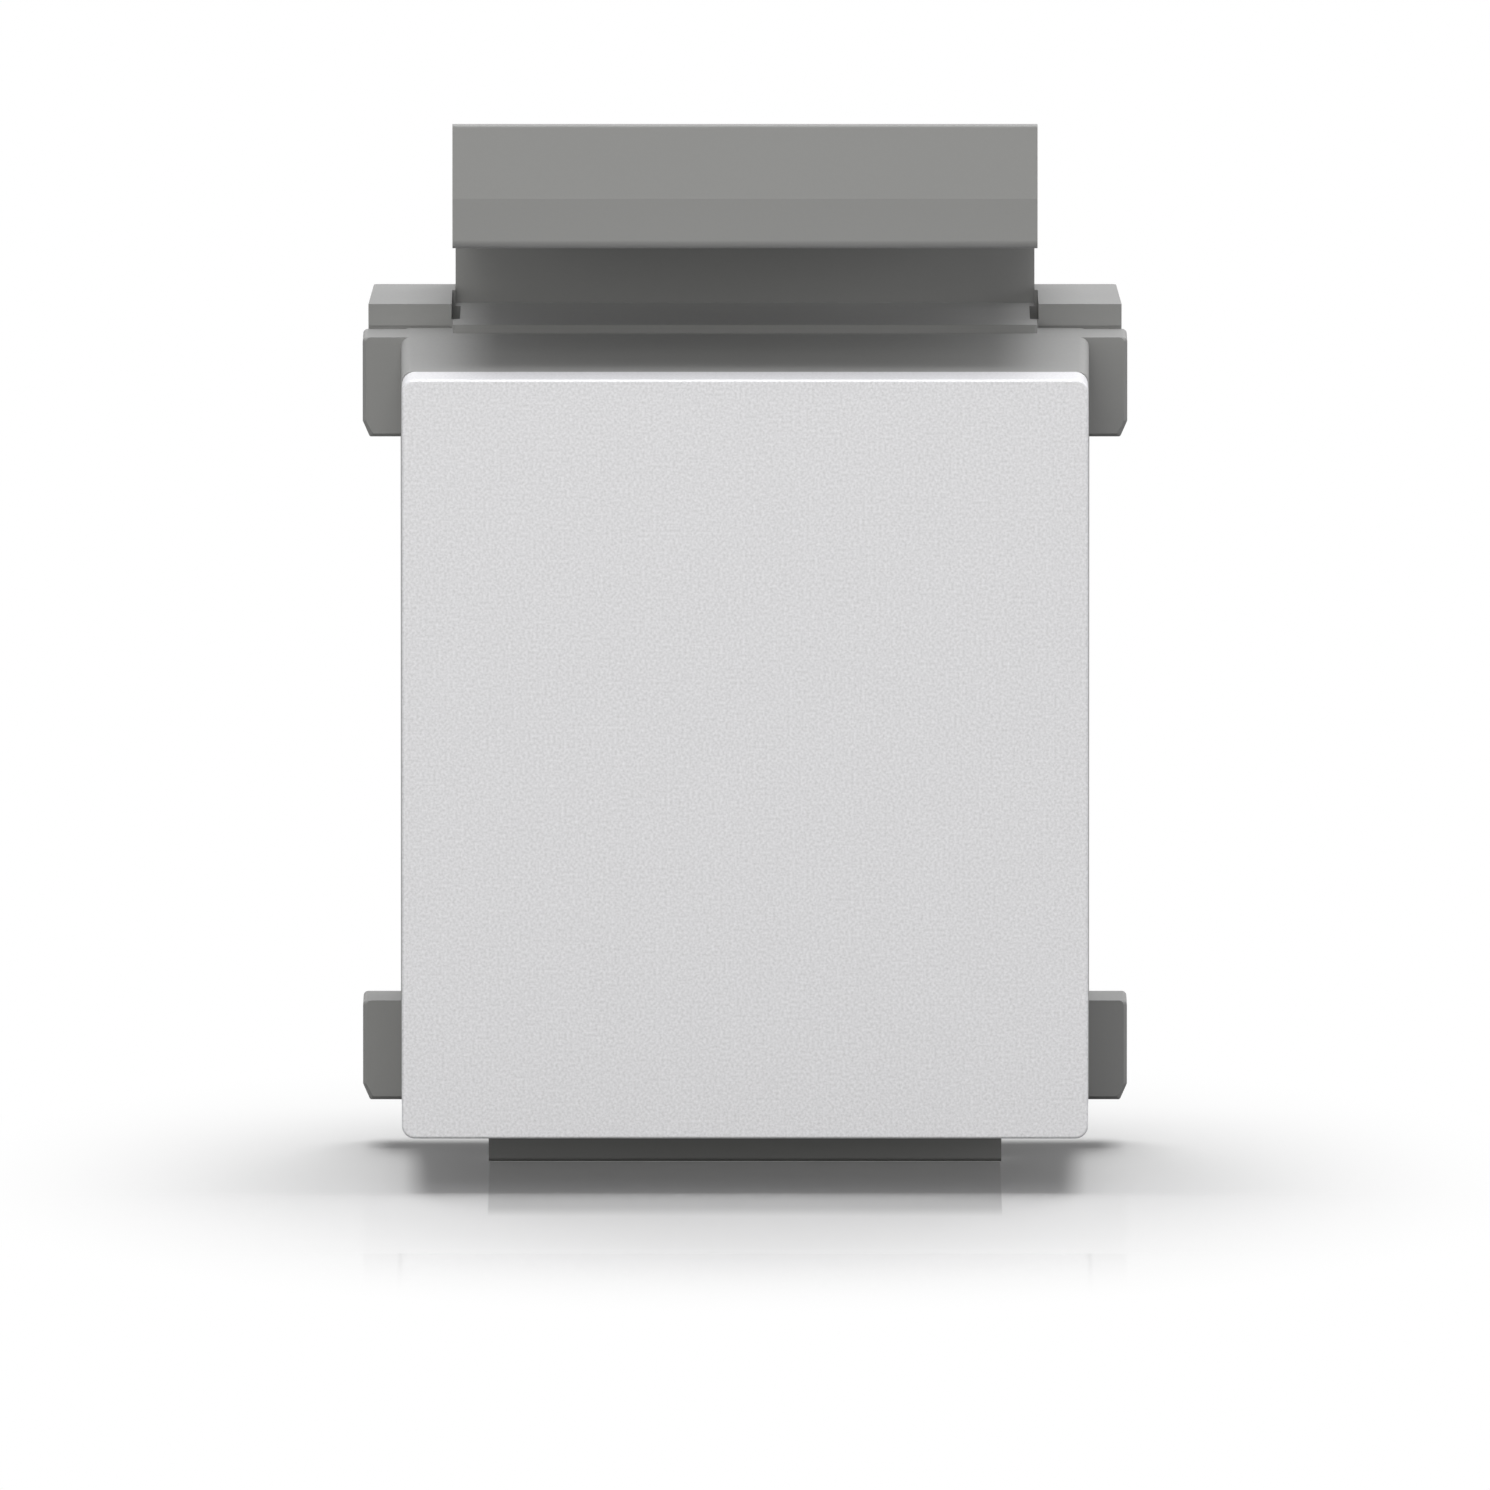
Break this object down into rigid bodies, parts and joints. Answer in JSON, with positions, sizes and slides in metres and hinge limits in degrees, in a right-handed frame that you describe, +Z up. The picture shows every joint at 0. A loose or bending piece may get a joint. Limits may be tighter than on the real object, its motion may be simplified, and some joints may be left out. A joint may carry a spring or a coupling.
{
  "type": "keystone blank insert",
  "caption": "Blank insert that closes an unused keystone cut-out, with a silver cap, side stops, a bottom hook and a sprung top latch.",
  "frame": {"origin": "centre of the front face of the face plate", "axes": "+X to the right seen from the front, +Y back into the panel, +Z up towards the latch"},
  "size_m": [0.0162, 0.0165, 0.0225],
  "materials": {
    "face_silver": "fine metallic silver paint, satin",
    "body_grey": "moulded, satin"
  },
  "bodies": {
    "root": {"face_plate": "face_silver", "insert_body": "body_grey"}
  },
  "joints": []
}
